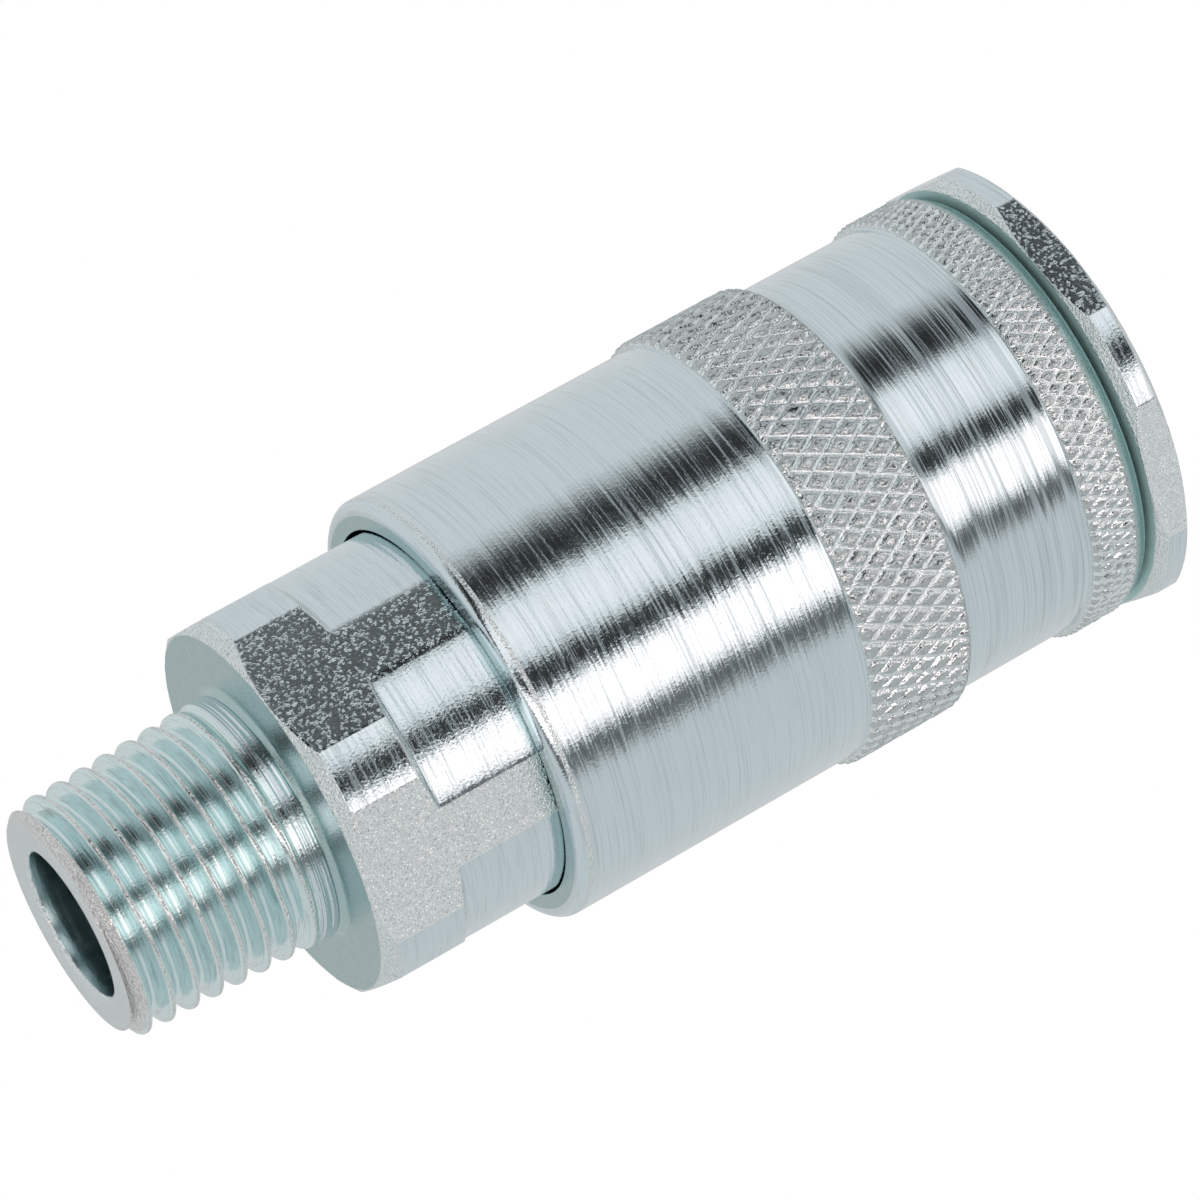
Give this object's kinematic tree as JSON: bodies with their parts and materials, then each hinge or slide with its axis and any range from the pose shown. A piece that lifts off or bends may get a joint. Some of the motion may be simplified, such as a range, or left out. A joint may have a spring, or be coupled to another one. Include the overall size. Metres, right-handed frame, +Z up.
{
  "type": "quick disconnect coupler",
  "caption": "Ball-lock quick disconnect socket with a spring-loaded knurled release sleeve, shut-off valve and tapered male thread.",
  "frame": {"origin": "on the coupling axis at the face of the socket's mouth, where the plug enters", "axes": "+X along the coupling axis, out of the socket's mouth; +Z up, with a flat of the tail hexagon facing straight up and another straight down; the front flange's flats are 2.2 degrees round from those, where the two screwed halves came tight"},
  "size_m": [0.059, 0.0252, 0.0242],
  "materials": {
    "plated_steel": "zinc plated, turned",
    "plated_steel_sleeve": "zinc plated, turned and knurled",
    "washer_steel": "stamped",
    "spring_steel": "drawn wire",
    "ball_steel": "polished",
    "nitrile": "matte",
    "ptfe": "smooth",
    "brass": "turned"
  },
  "bodies": {
    "body": {"socket_body": "plated_steel", "tail_body": "plated_steel", "sleeve_spring": "spring_steel", "valve_spring": "spring_steel", "plug_o_ring": "nitrile", "plug_backup_ring": "ptfe", "body_o_ring": "nitrile", "valve_guide": "brass"},
    "washer": {"slip_washer": "washer_steel"},
    "sleeve": {"release_sleeve": "plated_steel_sleeve"},
    "poppet": {"valve_poppet": "brass", "valve_o_ring": "nitrile"},
    "ball_1": {"lock_ball_1": "ball_steel"},
    "ball_2": {"lock_ball_2": "ball_steel"},
    "ball_3": {"lock_ball_3": "ball_steel"},
    "ball_4": {"lock_ball_4": "ball_steel"},
    "ball_5": {"lock_ball_5": "ball_steel"},
    "ball_6": {"lock_ball_6": "ball_steel"},
    "ball_7": {"lock_ball_7": "ball_steel"},
    "ball_8": {"lock_ball_8": "ball_steel"}
  },
  "joints": [
    {"name": "sleeve_slide", "type": "slide", "parent": "body", "child": "washer", "axis": [-1, 0, 0], "range_m": [0, 0.0057], "stiffness_N_per_m": 1500, "springref_m": -0.004, "deforming": ["sleeve_spring"]},
    {"name": "sleeve_spin", "type": "hinge", "parent": "washer", "child": "sleeve", "pos_m": [0, 0, 0], "axis": [1, 0, 0], "continuous": true},
    {"name": "valve_slide", "type": "slide", "parent": "body", "child": "poppet", "axis": [-1, 0, 0], "range_m": [0, 0.0045], "stiffness_N_per_m": 250, "springref_m": -0.006, "deforming": ["valve_spring"]},
    {"name": "ball_1_slide", "type": "slide", "parent": "body", "child": "ball_1", "axis": [0, 0, -1], "range_m": [0, 0.00094]},
    {"name": "ball_2_slide", "type": "slide", "parent": "body", "child": "ball_2", "axis": [0, 0.7071, -0.7071], "range_m": [0, 0.00094]},
    {"name": "ball_3_slide", "type": "slide", "parent": "body", "child": "ball_3", "axis": [0, 1, 0], "range_m": [0, 0.00094]},
    {"name": "ball_4_slide", "type": "slide", "parent": "body", "child": "ball_4", "axis": [0, 0.7071, 0.7071], "range_m": [0, 0.00094]},
    {"name": "ball_5_slide", "type": "slide", "parent": "body", "child": "ball_5", "axis": [0, 0, 1], "range_m": [0, 0.00094]},
    {"name": "ball_6_slide", "type": "slide", "parent": "body", "child": "ball_6", "axis": [0, -0.7071, 0.7071], "range_m": [0, 0.00094]},
    {"name": "ball_7_slide", "type": "slide", "parent": "body", "child": "ball_7", "axis": [0, -1, 0], "range_m": [0, 0.00094]},
    {"name": "ball_8_slide", "type": "slide", "parent": "body", "child": "ball_8", "axis": [0, -0.7071, -0.7071], "range_m": [0, 0.00094]}
  ],
  "couplings": [
    {"joint": "ball_1_slide", "follows": "sleeve_slide", "ratio": 0.16},
    {"joint": "ball_2_slide", "follows": "sleeve_slide", "ratio": 0.16},
    {"joint": "ball_3_slide", "follows": "sleeve_slide", "ratio": 0.16},
    {"joint": "ball_4_slide", "follows": "sleeve_slide", "ratio": 0.16},
    {"joint": "ball_5_slide", "follows": "sleeve_slide", "ratio": 0.16},
    {"joint": "ball_6_slide", "follows": "sleeve_slide", "ratio": 0.16},
    {"joint": "ball_7_slide", "follows": "sleeve_slide", "ratio": 0.16},
    {"joint": "ball_8_slide", "follows": "sleeve_slide", "ratio": 0.16}
  ]
}
